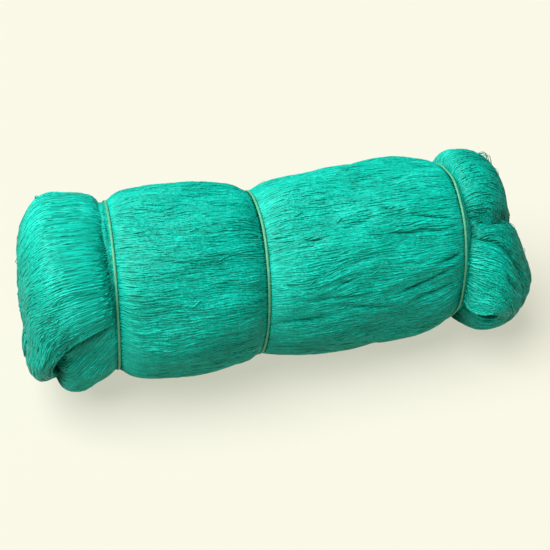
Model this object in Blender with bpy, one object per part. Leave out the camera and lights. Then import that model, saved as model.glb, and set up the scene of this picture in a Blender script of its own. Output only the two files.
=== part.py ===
"""Hank of knotted bird netting, lying on a floor and held by three tight ties.

The gathered net runs along X and is folded back on itself at both ends. +Z is up, and the origin is
under the middle of the hank, on the floor. All sizes are in metres.

The hank is one solid: a long body pinched at each tie, joined with the folds (bights) of its two ends.
"""

import math

import bmesh
import bpy
import numpy as np

# ---------------------------------------------------------------- driving dimensions
TIE_WIDTH = 0.0044         # along the hank
TIE_THICKNESS = 0.0024     # out from the hank
TIE_GAP = 0.0003           # clearance between a tie and the netting
BODY_SIDES = 60
FOLD_SIDES = 30
STEPS_PER_FOLD_ROW = 2

# The body's envelope before the ties pinch it: a row for each place along the hank. A bottom below
# zero is netting that lies flat on the floor: what would be below it is cut off.
ENVELOPE_COLUMNS = ("x", "half_width", "top", "bottom", "sway", "underside_power")
ENVELOPE_ROWS = (
    (-0.290, 0.034, 0.110, 0.052, -0.004, 2.2),
    (-0.287, 0.076, 0.142, 0.036, -0.005, 2.4),
    (-0.279, 0.098, 0.168, 0.018, -0.006, 2.5),
    (-0.266, 0.108, 0.188, 0.005, -0.007, 2.4),
    (-0.249, 0.110, 0.204, -0.002, -0.007, 2.3),
    (-0.230, 0.112, 0.214, 0.001, -0.007, 2.2),
    (-0.205, 0.120, 0.223, -0.002, -0.007, 2.0),
    (-0.180, 0.1255, 0.2265, -0.003, -0.007, 1.97),
    (-0.120, 0.1275, 0.227, -0.004, -0.006, 1.9),
    (-0.060, 0.1235, 0.222, -0.003, -0.003, 1.9),
    (0.000, 0.122, 0.220, -0.004, 0.001, 1.92),
    (0.060, 0.1215, 0.221, -0.004, 0.005, 1.95),
    (0.120, 0.1195, 0.2215, -0.004, 0.008, 1.95),
    (0.180, 0.1155, 0.220, -0.003, 0.010, 2.0),
    (0.218, 0.110, 0.215, 0.001, 0.010, 2.0),
    (0.232, 0.092, 0.190, 0.014, 0.010, 2.1),
    (0.252, 0.076, 0.170, 0.028, 0.010, 2.2),
    (0.266, 0.054, 0.150, 0.048, 0.010, 2.2),
    (0.272, 0.028, 0.125, 0.075, 0.010, 2.2),
)

# The ties, left to right: how deep each one pinches the body, over what reach, and how far its top
# leans towards +X, and its underside towards -X.
TIE_COLUMNS = ("x", "side_pinch", "top_pinch", "bottom_pinch", "left_reach", "right_reach", "slant")
TIES = {
    "tie_left": (-0.2056, 0.015, 0.006, 0.018, 0.015, 0.015, 0.0050),
    "tie_middle": (-0.0297, 0.016, 0.016, 0.009, 0.015, 0.026, 0.0068),
    "tie_right": (0.2176, 0.012, 0.006, 0.010, 0.014, 0.014, 0.0063),
}
TIE_LAND = 0.0030          # half the length of body that each tie holds level
SLANT_REACH = 0.060        # how far along the body a tie's slant still shows

# Broad furrows that run along the body: how many go round, their depth, and how they drift along X.
FURROW_COLUMNS = ("count", "depth", "phase", "drift")
FURROWS = ((7, 0.0016, 0.6, 3.0), (11, 0.0012, 2.1, -4.0), (5, 0.0012, 4.4, 2.0))

# The folds of the ends. Each row is one section, in a plane that holds the Y direction and leans
# over by "lean" degrees from upright towards the hank's end. (x, z) is the middle of the section's
# inner side, "height" how far its arch stands out from there, "half_width" its reach along Y, and
# "power" how boxy the arch is, from 2, an ellipse.
FOLD_COLUMNS = ("lean", "x", "z", "height", "half_width", "sway", "power")
# Before the rows: the side of the hank, and the depth of the inner side.
END_FOLDS = {
    "fold_over_left": (-1, 0.006, (
        (0, -0.190, 0.142, 0.062, 0.084, -0.006, 1.6),
        (2, -0.2045, 0.141, 0.079, 0.098, -0.006, 1.65),
        (7, -0.213, 0.140, 0.0885, 0.109, -0.006, 2.05),
        (14, -0.230, 0.135, 0.095, 0.116, -0.005, 2.25),
        (24, -0.244, 0.130, 0.099, 0.120, -0.004, 2.4),
        (38, -0.258, 0.123, 0.079, 0.122, -0.003, 2.6),
        (56, -0.271, 0.114, 0.053, 0.123, -0.002, 2.8),
        (78, -0.281, 0.101, 0.036, 0.123, -0.001, 3.0),
        (98, -0.287, 0.088, 0.034, 0.121, 0.000, 3.0),
        (120, -0.286, 0.074, 0.037, 0.113, 0.000, 2.9),
        (146, -0.278, 0.063, 0.036, 0.098, 0.000, 2.6),
        (172, -0.264, 0.057, 0.036, 0.088, 0.000, 2.4),
        (188, -0.246, 0.057, 0.032, 0.080, 0.000, 2.4),
    )),
    "fold_top_right": (1, 0.010, (
        (0, 0.210, 0.120, 0.070, 0.072, 0.018, 2.0),
        (2, 0.2245, 0.117, 0.082, 0.074, 0.025, 2.0),
        (8, 0.2285, 0.114, 0.105, 0.083, 0.030, 2.1),
        (16, 0.232, 0.111, 0.112, 0.088, 0.032, 2.15),
        (30, 0.237, 0.108, 0.107, 0.091, 0.033, 2.15),
        (50, 0.247, 0.103, 0.080, 0.088, 0.033, 2.2),
        (68, 0.256, 0.099, 0.067, 0.084, 0.033, 2.2),
        (92, 0.264, 0.090, 0.058, 0.080, 0.033, 2.2),
        (120, 0.266, 0.079, 0.045, 0.074, 0.031, 2.2),
        (150, 0.260, 0.068, 0.037, 0.066, 0.030, 2.2),
        (180, 0.250, 0.062, 0.034, 0.062, 0.030, 2.2),
    )),
    "fold_outer_right": (1, 0.006, (
        (0, 0.204, 0.090, 0.076, 0.066, 0.002, 2.1),
        (2, 0.2220, 0.088, 0.086, 0.072, 0.001, 2.1),
        (9, 0.2270, 0.085, 0.099, 0.081, -0.003, 2.2),
        (18, 0.231, 0.081, 0.105, 0.085, -0.006, 2.3),
        (34, 0.239, 0.075, 0.100, 0.086, -0.008, 2.4),
        (54, 0.250, 0.069, 0.082, 0.082, -0.010, 2.5),
        (76, 0.264, 0.063, 0.067, 0.078, -0.012, 2.5),
        (105, 0.271, 0.056, 0.050, 0.070, -0.015, 2.3),
        (140, 0.264, 0.048, 0.037, 0.063, -0.016, 2.3),
        (175, 0.250, 0.043, 0.036, 0.059, -0.014, 2.2),
    )),
    "fold_front_right": (1, 0.003, (
        (0, 0.206, 0.086, 0.056, 0.028, -0.042, 2.2),
        (2, 0.2220, 0.084, 0.065, 0.031, -0.044, 2.2),
        (10, 0.2285, 0.080, 0.076, 0.039, -0.057, 2.2),
        (22, 0.236, 0.078, 0.077, 0.042, -0.067, 2.3),
        (45, 0.248, 0.081, 0.056, 0.042, -0.073, 2.4),
        (75, 0.259, 0.076, 0.041, 0.041, -0.072, 2.5),
        (105, 0.263, 0.066, 0.036, 0.038, -0.066, 2.4),
        (140, 0.258, 0.056, 0.034, 0.036, -0.059, 2.3),
        (175, 0.246, 0.056, 0.035, 0.036, -0.053, 2.2),
        (180, 0.235, 0.063, 0.043, 0.033, -0.044, 2.2),
        (181, 0.2225, 0.071, 0.049, 0.027, -0.026, 2.2),
    )),
}

COLOURS = {
    "netting": (0.010, 0.45, 0.33, 1.0),
    "tie": (0.30, 0.62, 0.36, 1.0),
}


# ---------------------------------------------------------------- tables and sections
def smoothed(rows, steps):
    """The table's rows with steps - 1 more between each two, on a Catmull-Rom curve through them."""
    table = np.array(rows, float)
    padded = np.vstack([2 * table[0] - table[1], table, 2 * table[-1] - table[-2]])
    at = np.linspace(0, len(table) - 1, (len(table) - 1) * steps + 1)
    first = np.minimum(at.astype(int), len(table) - 2)
    t = (at - first)[:, None]
    a, b, c, d = (padded[first + k] for k in range(4))
    return 0.5 * (2 * b + (c - a) * t + (2 * a - 5 * b + 4 * c - d) * t**2 + (3 * b - a - 3 * c + d) * t**3)


def envelope_at(x, name):
    """The unpinched body's value of one column at x, from a fine smoothed table."""
    fine = smoothed(ENVELOPE_ROWS, 12)
    return np.interp(x, fine[:, 0], fine[:, ENVELOPE_COLUMNS.index(name)])


def pinch_at(x, name):
    """How far all the ties together draw the body in at x: each fades away from its level land."""
    total = np.zeros_like(x)
    for tie in TIES.values():
        away = np.maximum(np.abs(x - tie[0]) - TIE_LAND, 0)
        reach = np.where(x < tie[0], *(tie[TIE_COLUMNS.index(side)] for side in ("left_reach", "right_reach")))
        total += tie[TIE_COLUMNS.index(name)] * np.exp(-away / reach)
    return total


def slanted(x, angle):
    """Where along X the section of x has its point at this angle: near a tie it slants as the tie does."""
    moved = x + 0.0
    for tie in TIES.values():
        fade = np.exp(-(((x - tie[0]) / SLANT_REACH) ** 2))
        moved = moved + tie[TIE_COLUMNS.index("slant")] * fade * np.sin(angle)
    return moved


def furrow_at(x, angle):
    """Depth of the broad furrows, less near a tie, where the netting is packed tight."""
    loose = 1 - 0.8 * pinch_at(x, "side_pinch") / max(tie[1] for tie in TIES.values())
    waves = sum(depth * np.cos(count * angle + phase + drift * 10 * x) for count, depth, phase, drift in FURROWS)
    return loose * waves


def rounded(angle, power):
    """Cosine and sine of angle, drawn out from a circle (power 2) towards a box (a higher power)."""
    cosine, sine = np.cos(angle), np.sin(angle)
    reach = (np.abs(cosine) ** power + np.abs(sine) ** power) ** (-1 / power)
    return reach * cosine, reach * sine


def levelled(x):
    """The place whose section the body has at x: a tie's own, anywhere on the land that it holds."""
    for tie in TIES.values():
        if abs(x - tie[0]) < TIE_LAND + 1e-6:
            return tie[0]
    return x


def body_ring(x, sides, swell=0.0):
    """The body's section at x as points (sides, 3): an ellipse, squarer underneath near the ends."""
    angle = np.linspace(0, 2 * math.pi, sides, endpoint=False)
    xs = np.full(sides, levelled(x))
    half_width = envelope_at(xs, "half_width") - pinch_at(xs, "side_pinch")
    top = envelope_at(xs, "top") - pinch_at(xs, "top_pinch")
    bottom = envelope_at(xs, "bottom") + pinch_at(xs, "bottom_pinch")
    middle = (top + bottom) / 2
    out = swell + furrow_at(xs, angle)
    power = np.where(np.sin(angle) < 0, envelope_at(xs, "underside_power"), 2.0)
    across, up = rounded(angle, power)
    y = envelope_at(xs, "sway") + (half_width + out) * across
    z = middle + ((top - bottom) / 2 + out) * up
    return np.stack([slanted(np.full(sides, x), angle), y, z], axis=1)


def fold_rings(side, inner, rows):
    """A fold's sections (rings, sides, 3): a high arch on the outer side, a shallow one within."""
    angle = np.linspace(0, 2 * math.pi, FOLD_SIDES, endpoint=False)
    table = smoothed(rows, STEPS_PER_FOLD_ROW)[:, :, None]
    lean, x, z, height, half_width, sway, power = (table[:, i] for i in range(len(FOLD_COLUMNS)))
    across, up = rounded(angle, power)
    rise = np.where(up > 0, height, inner) * up
    lean = np.radians(lean)
    return np.stack([
        x + side * rise * np.sin(lean),
        sway + half_width * across + 0 * rise,
        z + rise * np.cos(lean),
    ], axis=2)


# ---------------------------------------------------------------- meshes
def loft(name, rings, closed=False):
    """A mesh through rings of points. It is capped at both ends, unless the last ring meets the first."""
    count, sides = rings.shape[:2]
    faces = []
    for i in range(count if closed else count - 1):
        near, far = i * sides, (i + 1) % count * sides
        faces += [
            (near + k, near + (k + 1) % sides, far + (k + 1) % sides, far + k) for k in range(sides)
        ]
    if not closed:
        faces += [tuple(range(sides))[::-1], tuple(range((count - 1) * sides, count * sides))]
    mesh = bpy.data.meshes.new(name)
    mesh.from_pydata(rings.reshape(-1, 3).tolist(), [], faces)
    tidy = bmesh.new()
    tidy.from_mesh(mesh)
    bmesh.ops.recalc_face_normals(tidy, faces=tidy.faces)
    tidy.to_mesh(mesh)
    tidy.free()
    mesh.shade_smooth()
    return bpy.data.objects.new(name, mesh)


def body_stations():
    """Places along the body: close together by the ties and at the rounded ends, wider between."""
    first, last = ENVELOPE_ROWS[0][0], ENVELOPE_ROWS[-1][0]
    by_tie = np.array([TIE_LAND, 0.0065, 0.0115, 0.019, 0.030])
    near = [tie[0] + sign * by_tie for tie in TIES.values() for sign in (-1, 1)]
    ends = [first + np.array([0, 0.002, 0.005, 0.010, 0.018, 0.030]), last - np.array([0, 0.003, 0.008, 0.016, 0.026])]
    edges = np.sort(np.concatenate(near + ends))
    stations = [edges[0]]
    for x in edges[1:]:
        pieces = max(1, round((x - stations[-1]) / 0.017))
        stations += list(np.linspace(stations[-1], x, pieces + 1)[1:])
    return stations


def material(name):
    """A plain Principled finish of this name's colour."""
    made = bpy.data.materials.new(name)
    made.use_nodes = True
    shader = made.node_tree.nodes["Principled BSDF"]
    shader.inputs["Base Color"].default_value = COLOURS[name]
    shader.inputs["Roughness"].default_value = 0.5
    return made


def helper(obj, collection):
    """Marks obj as a shape that a Boolean uses."""
    collection.objects.link(obj)
    obj.hide_render = True
    obj.display_type = "WIRE"
    return obj


def boolean(obj, other, operation):
    """Adds a Boolean modifier with another object to obj."""
    made = obj.modifiers.new(f"{operation.lower()}_{other.name}", "BOOLEAN")
    made.operation = operation
    made.object = other
    return made


def make_hank(parts, helpers, finish):
    """The netting: the body, joined with each end fold, and cut level where it lies on the floor."""
    rings = np.array([body_ring(x, BODY_SIDES) for x in body_stations()])
    hank = loft("net_hank", rings)
    parts.objects.link(hank)
    hank.data.materials.append(finish)
    for name, fold in END_FOLDS.items():
        boolean(hank, helper(loft(name, fold_rings(*fold)), helpers), "UNION")
    bpy.ops.mesh.primitive_cube_add(size=1, location=(0, 0, -0.05))
    floor = bpy.context.object
    floor.name = "floor_cut"
    floor.scale = (1.0, 0.6, 0.1)
    bpy.context.collection.objects.unlink(floor)
    boolean(hank, helper(floor, helpers), "DIFFERENCE")
    return hank


def make_tie(name, parts, finish):
    """A flat tight band round the body at one pinch: an oval section carried round the body's outline."""
    x, sides, around = TIES[name][0], 8, 72
    angle = np.linspace(0, 2 * math.pi, sides, endpoint=False)
    inner = body_ring(x, around, TIE_GAP)
    outer = body_ring(x, around, TIE_GAP + TIE_THICKNESS)
    across = (1 + np.sin(angle)) / 2
    points = inner[:, None] + (outer - inner)[:, None] * across[None, :, None]
    points[:, :, 0] += TIE_WIDTH / 2 * np.cos(angle)
    tie = loft(name, points, closed=True)
    parts.objects.link(tie)
    tie.data.materials.append(finish)
    return tie


def centre_over_origin(parts, helpers):
    """Slides everything level, so that the parts' own box is centred over the origin."""
    bpy.context.view_layer.update()
    graph = bpy.context.evaluated_depsgraph_get()
    corners = np.array([obj.evaluated_get(graph).bound_box for obj in parts.objects]).reshape(-1, 3)
    middle = (corners.min(axis=0) + corners.max(axis=0)) / 2
    for obj in (*parts.objects, *helpers.objects):
        obj.location.x -= middle[0]
        obj.location.y -= middle[1]


def main():
    for obj in list(bpy.data.objects):
        bpy.data.objects.remove(obj)
    parts = bpy.data.collections.new("bird_netting_hank")
    helpers = bpy.data.collections.new("helpers")
    for collection in (parts, helpers):
        bpy.context.scene.collection.children.link(collection)
    make_hank(parts, helpers, material("netting"))
    tie_finish = material("tie")
    for name in TIES:
        make_tie(name, parts, tie_finish)
    centre_over_origin(parts, helpers)


main()
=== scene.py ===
"""Looks of a tied hank of knotted bird netting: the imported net, its twines, its ties, the studio.

Every net surface is a function of a place along the strands and an angle round them, laid out on a
grid with numpy. The same functions carry the separate twines, so they lie on that net. Lengths are
in metres, and angles in radians.
"""

import math
from collections import namedtuple

import bpy
import numpy as np
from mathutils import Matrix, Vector


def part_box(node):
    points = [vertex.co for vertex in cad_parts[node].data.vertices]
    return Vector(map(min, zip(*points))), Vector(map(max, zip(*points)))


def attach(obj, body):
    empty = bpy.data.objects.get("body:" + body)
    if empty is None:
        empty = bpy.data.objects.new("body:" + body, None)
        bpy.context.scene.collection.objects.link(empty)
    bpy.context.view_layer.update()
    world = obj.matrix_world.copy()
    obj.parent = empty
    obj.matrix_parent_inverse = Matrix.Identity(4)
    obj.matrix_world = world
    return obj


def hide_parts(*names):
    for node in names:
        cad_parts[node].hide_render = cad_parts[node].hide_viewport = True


FULL_TURN = 2 * math.pi
TINY = 1e-12  # added to a length that is divided by
NORMAL_STEP = 0.001  # the lift that shows which way a surface faces

# ---- the hank's form
# The body before the ties pinch it: a row for each place along the hank.
ENVELOPE_COLUMNS = ("x", "half_width", "top", "bottom", "sway", "underside_power")
ENVELOPE_ROWS = (
    (-0.290, 0.034, 0.110, 0.052, -0.004, 2.2),
    (-0.287, 0.076, 0.142, 0.036, -0.005, 2.4),
    (-0.279, 0.098, 0.168, 0.018, -0.006, 2.5),
    (-0.266, 0.108, 0.188, 0.005, -0.007, 2.4),
    (-0.249, 0.110, 0.204, -0.002, -0.007, 2.3),
    (-0.230, 0.112, 0.214, 0.001, -0.007, 2.2),
    (-0.205, 0.120, 0.223, -0.002, -0.007, 2.0),
    (-0.180, 0.1255, 0.2265, -0.003, -0.007, 1.97),
    (-0.120, 0.1275, 0.227, -0.004, -0.006, 1.9),
    (-0.060, 0.1235, 0.222, -0.003, -0.003, 1.9),
    (0.000, 0.122, 0.220, -0.004, 0.001, 1.92),
    (0.060, 0.1215, 0.221, -0.004, 0.005, 1.95),
    (0.120, 0.1195, 0.2215, -0.004, 0.008, 1.95),
    (0.180, 0.1155, 0.220, -0.003, 0.010, 2.0),
    (0.218, 0.110, 0.215, 0.001, 0.010, 2.0),
    (0.232, 0.092, 0.190, 0.014, 0.010, 2.1),
    (0.252, 0.076, 0.170, 0.028, 0.010, 2.2),
    (0.266, 0.054, 0.150, 0.048, 0.010, 2.2),
    (0.272, 0.028, 0.125, 0.075, 0.010, 2.2),
)
FIRST_X, LAST_X = ENVELOPE_ROWS[0][0], ENVELOPE_ROWS[-1][0]
FINE_STEPS = 12  # between two rows of a smoothed table
ELLIPSE = 2.0  # the power of the body's upper half

# The ties: how deep each one pinches the body, over what reach, how far its top leans to +X and
# its underside to -X, and its seed.
Tie = namedtuple("Tie", "x side_pinch top_pinch bottom_pinch left_reach right_reach slant seed")
TIES = {
    "tie_left": Tie(-0.2056, 0.015, 0.006, 0.018, 0.015, 0.015, 0.0050, 900),
    "tie_middle": Tie(-0.0297, 0.016, 0.016, 0.009, 0.015, 0.026, 0.0068, 920),
    "tie_right": Tie(0.2176, 0.012, 0.006, 0.010, 0.014, 0.014, 0.0063, 940),
}
LEFT_X, MIDDLE_X, RIGHT_X = (tie.x for tie in TIES.values())
TIE_LAND = 0.0030  # half the length of body that each tie holds level
LOOSENING = 0.007  # how far beyond that length the net comes free
SLANT_REACH = 0.060  # of a tie's slant, along the body
TIE_GAP = 0.0003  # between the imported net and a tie
TIE_WIDTH = 0.0030  # flat split-film twine, along the hank
TIE_THICKNESS = 0.0014
OUTER_STEP = 0.002  # a lift that shows where a tie faces
TIE_RIBS = 5  # round a tie's own section
RIB_HEIGHT = 0.10  # for half the tie's width or thickness
TIE_STEPS, TIE_SIDES = 400, 14

# Broad furrows along the body: how many go round, their depth, their place in the turn, and their
# drift round it in a metre.
Furrow = namedtuple("Furrow", "count depth phase drift")
FURROWS = (
    Furrow(7, 0.0016, 0.6, 30.0),
    Furrow(11, 0.0012, 2.1, -40.0),
    Furrow(5, 0.0012, 4.4, 20.0),
)
FURROWS_LOST = 0.8  # of their depth, at the deepest pinch

# The end folds: the side of the hank, the depth of the inner side, the skin's steps along and
# round, how many twines a layer has, how they drift to the crown (how far, and between which runs),
# the seed, and rows. Each row is a section in a plane that leans from upright, in degrees.
FOLD_COLUMNS = ("lean", "x", "z", "height", "half_width", "sway", "power")
Fold = namedtuple("Fold", "side inner skin_steps twines drift seed rows")
END_FOLDS = {
    "fold_over_left": Fold(-1, 0.006, (110, 150), 148, (0.42, 0.020, 0.130), 400, (
        (0, -0.190, 0.142, 0.062, 0.084, -0.006, 1.6),
        (2, -0.2055, 0.141, 0.075, 0.097, -0.006, 1.7),
        (4, -0.2105, 0.140, 0.0820, 0.110, -0.006, 2.0),
        (14, -0.230, 0.135, 0.095, 0.116, -0.005, 2.25),
        (24, -0.244, 0.130, 0.099, 0.120, -0.004, 2.4),
        (38, -0.258, 0.123, 0.079, 0.122, -0.003, 2.6),
        (56, -0.271, 0.114, 0.053, 0.123, -0.002, 2.8),
        (78, -0.281, 0.101, 0.036, 0.123, -0.001, 3.0),
        (98, -0.287, 0.088, 0.034, 0.121, 0.000, 3.0),
        (120, -0.286, 0.074, 0.037, 0.113, 0.000, 2.9),
        (146, -0.278, 0.063, 0.036, 0.098, 0.000, 2.6),
        (172, -0.264, 0.057, 0.036, 0.088, 0.000, 2.4),
        (188, -0.246, 0.057, 0.032, 0.080, 0.000, 2.4),
    )),
    "fold_top_right": Fold(1, 0.010, (90, 110), 106, (0.12, 0.015, 0.090), 460, (
        (0, 0.210, 0.120, 0.070, 0.072, 0.018, 2.0),
        (2, 0.2225, 0.117, 0.086, 0.076, 0.025, 2.0),
        (5, 0.2255, 0.114, 0.105, 0.083, 0.029, 2.1),
        (16, 0.232, 0.111, 0.112, 0.088, 0.032, 2.15),
        (30, 0.237, 0.108, 0.107, 0.091, 0.033, 2.15),
        (50, 0.247, 0.103, 0.080, 0.088, 0.033, 2.2),
        (68, 0.256, 0.099, 0.067, 0.084, 0.033, 2.2),
        (92, 0.264, 0.090, 0.058, 0.080, 0.033, 2.2),
        (120, 0.266, 0.079, 0.045, 0.074, 0.031, 2.2),
        (150, 0.260, 0.068, 0.037, 0.066, 0.030, 2.2),
        (180, 0.250, 0.062, 0.034, 0.062, 0.030, 2.2),
    )),
    "fold_outer_right": Fold(1, 0.006, (90, 110), 104, (0.35, 0.015, 0.090), 520, (
        (0, 0.204, 0.090, 0.076, 0.066, 0.002, 2.1),
        (2, 0.2205, 0.088, 0.090, 0.078, 0.001, 2.1),
        (5, 0.2240, 0.085, 0.101, 0.087, -0.003, 2.2),
        (18, 0.231, 0.081, 0.105, 0.085, -0.006, 2.3),
        (34, 0.239, 0.075, 0.100, 0.086, -0.008, 2.4),
        (54, 0.250, 0.069, 0.082, 0.082, -0.010, 2.5),
        (76, 0.264, 0.063, 0.067, 0.078, -0.012, 2.5),
        (105, 0.271, 0.056, 0.050, 0.070, -0.015, 2.3),
        (140, 0.264, 0.048, 0.037, 0.063, -0.016, 2.3),
        (175, 0.250, 0.043, 0.036, 0.059, -0.014, 2.2),
    )),
    "fold_front_right": Fold(1, 0.003, (70, 90), 66, (0.0, 0.0, 0.1), 580, (
        (0, 0.206, 0.086, 0.056, 0.028, -0.042, 2.2),
        (2, 0.2205, 0.084, 0.070, 0.035, -0.050, 2.2),
        (6, 0.2240, 0.080, 0.080, 0.040, -0.058, 2.2),
        (22, 0.236, 0.078, 0.077, 0.042, -0.067, 2.3),
        (45, 0.248, 0.081, 0.056, 0.042, -0.073, 2.4),
        (75, 0.259, 0.076, 0.041, 0.041, -0.072, 2.5),
        (105, 0.263, 0.066, 0.036, 0.038, -0.066, 2.4),
        (140, 0.258, 0.056, 0.034, 0.036, -0.059, 2.3),
        (175, 0.246, 0.056, 0.035, 0.036, -0.053, 2.2),
        (180, 0.235, 0.063, 0.043, 0.033, -0.044, 2.2),
        (181, 0.2225, 0.071, 0.049, 0.027, -0.026, 2.2),
    )),
}
FOLD_FREEING = 0.040  # the run at which a fold's net bunches freely

# ---- the net
TWINE_HALF_WIDTH = 0.0015  # two or three slack twines, side by side
WIDTH_RANGE = (0.85, 1.15)  # a twine's own width, for the usual one
FLATNESS = 0.34  # a twine's height for its width
TUBE_SIDES = 3
POINT_RADIUS = 1e-5  # of a tube's closed ends
SIDE_UV = 0.3  # of a twine's strip of the UV map, for each of its sides
EVEN_STEPS = 1500  # of the line on which the twines are evenly spread
BAR = 0.020  # between two knots along a twine
STEPS_PER_BAR = 4  # of a tube
KNOT_SWELL = 0.25  # how much thicker a knot is than its twine
TIED_SWELL = 0.25  # how much wider a twine is, pressed flat under a tie
SKIN_DEPTH = -0.0011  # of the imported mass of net, under the twines
TIED_DEPTH = -0.0005  # of every twine's middle, under a tie
TIED_SKIN_DEPTH = -0.0004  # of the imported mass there, pressed up between twines
SKIN_CLEARANCE = 0.0002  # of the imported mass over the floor
TWINE_CLEARANCE = 0.0004  # of the twines over it
LOWEST_LIFT = -0.0008  # how far a twine may sink in its layer
# The layers of twines: the depth of their middle, how freely they lift, and their seed.
Layer = namedtuple("Layer", "name depth play seed")
LAYERS = (Layer("inner", -0.0013, 1.0, 0), Layer("outer", -0.0010, 1.2, 20))

# For the twines' pitch: a twine's swing to each neighbour in turn, and how far it is out of place.
NET_SWING = 0.25
OWN_PLACE = 0.2
KNOT_SHIFT = 0.8  # of a twine's own shift, for its knots
SHIFT_EASE = 0.020  # from an end of the twine, where knots shift less
FULL_SHIFT_BARS = 4  # the fewest bars of a twine that shift in full

# Smooth random fields: how strong each is, how long its cells are along the strands, how many of
# them make a full turn, and what is added to the seed.
Field = namedtuple("Field", "amount cell cells_round seed")
WANDER = (Field(0.050, 0.11, 14, 0), Field(0.022, 0.036, 40, 1))
BUNCHES = (
    Field(0.0013, 0.075, 42, 2), Field(0.0008, 0.024, 120, 3), Field(0.0004, 0.014, 220, 4),
)
KNOT_SHIFTS = (Field(0.008, 0.06, 30, 1),)
LOOSE_SWING = (Field(0.6, 0.018, 220, 2),)
LIFTS = (Field(0.0002, 0.028, 110, 3), Field(0.0004, 0.0085, 280, 4))
SHADES = (Field(0.14, 0.045, 60, 6), Field(0.20, 0.0085, 260, 8))
TIE_WANDER = (Field(0.0006, 1.0, 9, 0),)
TIE_FRAYING = (Field(0.5, 1.0, 60, 5),)
TIE_SWELL = (Field(0.10, 1.0, 16, 9),)
LATTICE_ROWS = 97  # of random numbers, after which they repeat
LATTICE_START = 31.0  # the row at run 0, so that none is negative
BODY_SEED = 11
FOLD_TWINES_SEED, FOLD_STRAYS_SEED = 10, 50  # added to a fold's own
OWN_SHADE_SEED = 7  # added to a layer's own

# The shade of a twine, from 0 to 1: the middle, how far off it each twine may be, and the painted
# shade that a metre of height or of a valley adds: deeper twines and those in valleys are painted
# darker, and raised ones lighter.
MIDDLE_SHADE = 0.5
OWN_SHADE = 0.12
PAINTED_SHADE_OF_HEIGHT = 180.0
PAINTED_SHADE_OF_VALLEY = 50.0
DASH = 0.0048  # the length of twine over which its tilt and its painted gleam change
STRAND_GAP = 4.7  # between neighbouring twines in the noise of those dashes
# Each bundle of net: how deep it sinks where it meets another; the painted light or shade of its
# twines as they leave the tie, and once they turn over the hank's end; and the runs that it changes
# between.
Bundle = namedtuple("Bundle", "seam leaving turned first last")
BUNDLES = {
    "body": Bundle(0.0050, 0.0, 0.0, 0.0, 1.0),
    "fold_over_left": Bundle(0.0050, 0.22, -0.25, 0.042, 0.072),
    "fold_top_right": Bundle(0.0040, -0.05, -0.20, 0.040, 0.080),
    "fold_outer_right": Bundle(0.0080, -0.22, -0.30, 0.060, 0.120),
    "fold_front_right": Bundle(0.0010, 0.10, -0.15, 0.055, 0.085),
}
SEAM_WIDTH = 0.0035
# How far from a tie the seams start, and the length over which they come in.
BODY_PARTING = (0.010, 0.025)
FOLD_PARTING = (0.014, 0.020)
GRID_ROWS, GRID_COLUMNS = 64, 96  # of the grids that the seams are measured on
JOINED_ROWS = 500  # of the body's whole grid
END_OVERLAP = 0.010  # how far past an end tie the folds may meet the body
PART_SIZE = 1000  # how many points are measured at once

# Creases where bunches of net part: place, half length, tilt in degrees, half width and depth.
Crease = namedtuple("Crease", "run angle half_length tilt half_width depth")
CREASES = {
    "body": (
        Crease(0.029, 2.26, 0.011, -10, 0.0022, 0.0040),
        Crease(0.082, 2.18, 0.022, 9, 0.0024, 0.0028),
        Crease(0.134, 2.08, 0.014, -18, 0.0024, 0.0034),
        Crease(0.154, 2.35, 0.038, -5, 0.0022, 0.0026),
        Crease(0.183, 2.23, 0.029, -12, 0.0022, 0.0030),
        Crease(0.063, 2.92, 0.029, -6, 0.0026, 0.0026),
        Crease(0.095, 3.09, 0.026, -12, 0.0028, 0.0032),
        Crease(0.016, 3.13, 0.031, -1, 0.0026, 0.0036),
        Crease(0.164, 2.90, 0.030, 17, 0.0024, 0.0036),
        Crease(0.175, 3.06, 0.027, 10, 0.0024, 0.0034),
        Crease(0.197, 2.70, 0.013, 12, 0.0030, 0.0044),
        Crease(0.063, 2.76, 0.008, -4, 0.0022, 0.0034),
        Crease(-0.060, 1.10, 0.030, 6, 0.0026, 0.0032),
        Crease(0.110, 0.70, 0.034, -8, 0.0028, 0.0036),
        Crease(0.020, 0.10, 0.030, 10, 0.0026, 0.0034),
        Crease(-0.130, 0.35, 0.026, -9, 0.0026, 0.0034),
        Crease(-0.140, 5.70, 0.028, 7, 0.0028, 0.0034),
        Crease(0.090, 5.90, 0.032, -6, 0.0028, 0.0034),
    ),
    "fold_outer_right": (Crease(0.076, 1.99, 0.034, 20, 0.0034, 0.0040),),
    "fold_front_right": (Crease(0.103, 2.29, 0.020, 0, 0.0030, 0.0060),),
}
# The surfaces' radii there, which turn an angle into a length.
CREASE_RADII = {"body": 0.115, "fold_outer_right": 0.085, "fold_front_right": 0.045}

# The ways that the strands turn round a surface.
BODY_TURN = 0.55  # for a metre of the body
TUCK_START = 0.004  # past the left tie, where the net turns down and under
TUCK_RATE = 7.0  # for a metre past it
MOST_TUCK = 0.55
LIP = 0.6  # how far round past an arch's foot its twines go
LIP_EASE = (-0.1, 0.5)  # where a fold's drift begins, from the foot, and the angle it comes in over

# ---- camera and studio, with angles in degrees
CAMERA_AZIMUTH = -11.8
CAMERA_ELEVATION = 35.48
CAMERA_DISTANCE = 1.5
CAMERA_AIM = (-0.0018, -0.0085, 0.1028)  # in the hank's own frame
CAMERA_LENS = 78.5
LAMP_AZIMUTH, LAMP_ELEVATION = -82, 58
LAMP_POWER = 8.2
LAMP_SPREAD = 64  # degrees of sky, for soft shadows
LAMP_DISTANCE = 5.0
SURROUND_STRENGTH = 0.11
FLOOR_REACH = 12.0


# ---- tables and smooth random fields
def ramp(value, start, length):
    """From 0 at start to 1 a length further on, and level outside."""
    return np.clip((value - start) / length, 0, 1)


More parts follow.
